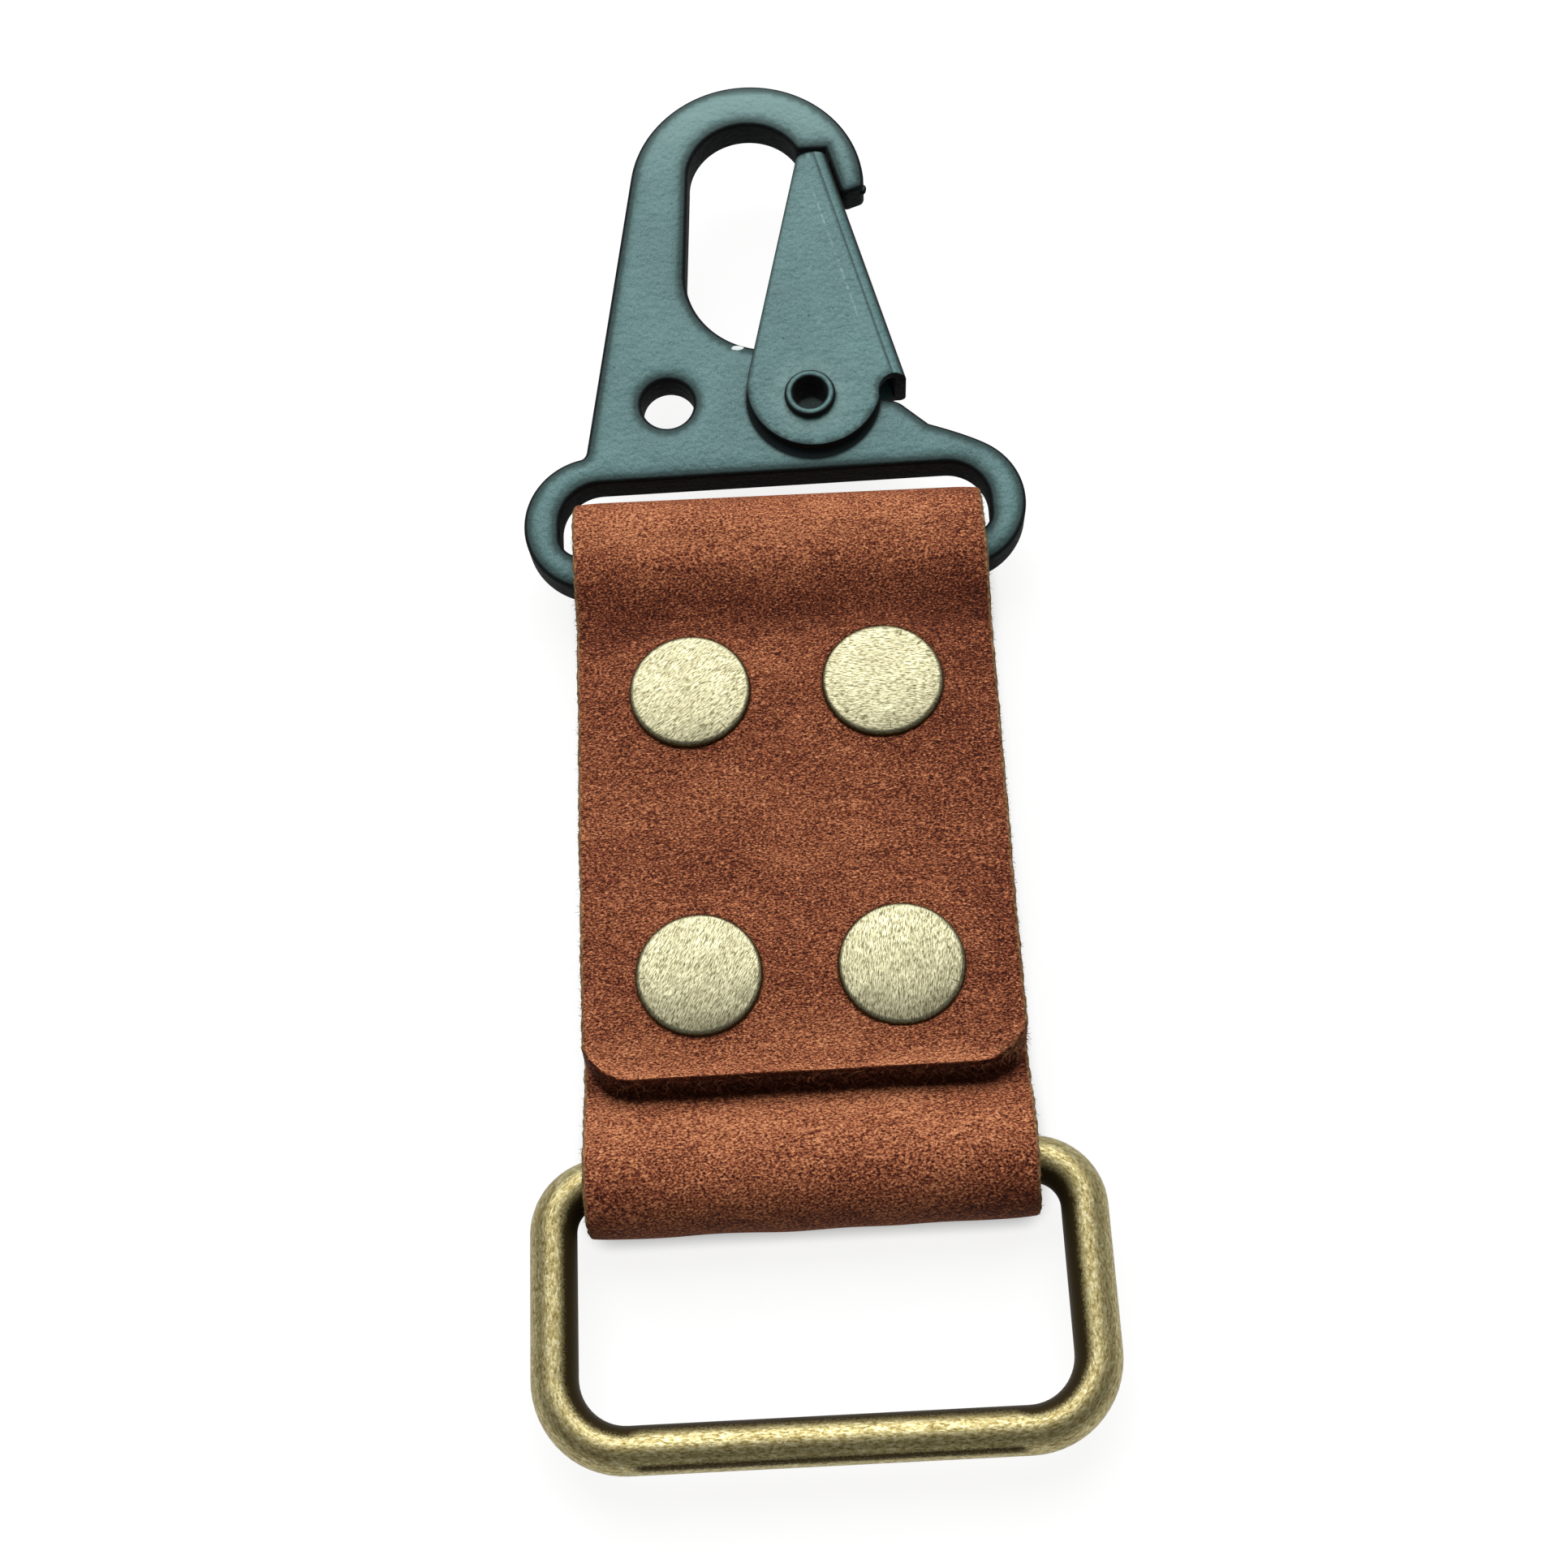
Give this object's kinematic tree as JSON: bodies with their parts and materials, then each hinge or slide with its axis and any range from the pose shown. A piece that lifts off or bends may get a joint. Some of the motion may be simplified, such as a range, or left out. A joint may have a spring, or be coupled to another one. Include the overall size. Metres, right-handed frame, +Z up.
{
  "type": "key ring holder",
  "caption": "Folded leather key holder with a spring-gate snap hook at one end and a rectangular wire ring for keys at the other.",
  "frame": {"origin": "middle of the footprint, on the surface the holder lies on", "axes": "+X across the strap, +Y from the wire ring to the snap hook, +Z up, out of the front flap"},
  "size_m": [0.0402, 0.11, 0.0111],
  "materials": {
    "leather": "waxed, matt, worn at the fold and edges",
    "black_paint": "satin black paint on a slightly rough casting",
    "antique_brass": "antique brass plating, brushed, dark in the corners",
    "steel": "plain spring wire"
  },
  "bodies": {
    "holder": {"strap": "leather", "front_cap_1": "antique_brass", "front_socket_1": "antique_brass", "rear_post_1": "antique_brass", "rear_cap_1": "antique_brass", "front_cap_2": "antique_brass", "front_socket_2": "antique_brass", "rear_post_2": "antique_brass", "rear_cap_2": "antique_brass", "front_cap_3": "antique_brass", "front_socket_3": "antique_brass", "rear_post_3": "antique_brass", "rear_cap_3": "antique_brass", "front_cap_4": "antique_brass", "front_socket_4": "antique_brass", "rear_post_4": "antique_brass", "rear_cap_4": "antique_brass"},
    "hook": {"hook_plate": "black_paint", "gate_rivet": "black_paint", "gate_spring": "steel"},
    "gate": {"gate": "black_paint"},
    "ring": {"ring": "antique_brass"}
  },
  "joints": [
    {"name": "hook_swing", "type": "hinge", "parent": "holder", "child": "hook", "pos_m": [-0.00058, 0.01244, 0.00519], "axis": [1, 0, 0], "range_deg": [-130, 125]},
    {"name": "gate_pivot", "type": "hinge", "parent": "hook", "child": "gate", "pos_m": [0.00272, 0.02578, 0.00648], "axis": [0, -0.0958, 0.9954], "range_deg": [0, 28], "stiffness_Nm_per_rad": 0.03, "springref_deg": -45.84, "deforming": ["gate_spring"]},
    {"name": "ring_swing", "type": "hinge", "parent": "holder", "child": "ring", "pos_m": [0, -0.03492, 0.0041], "axis": [1, 0, 0], "range_deg": [-155, 155]}
  ]
}
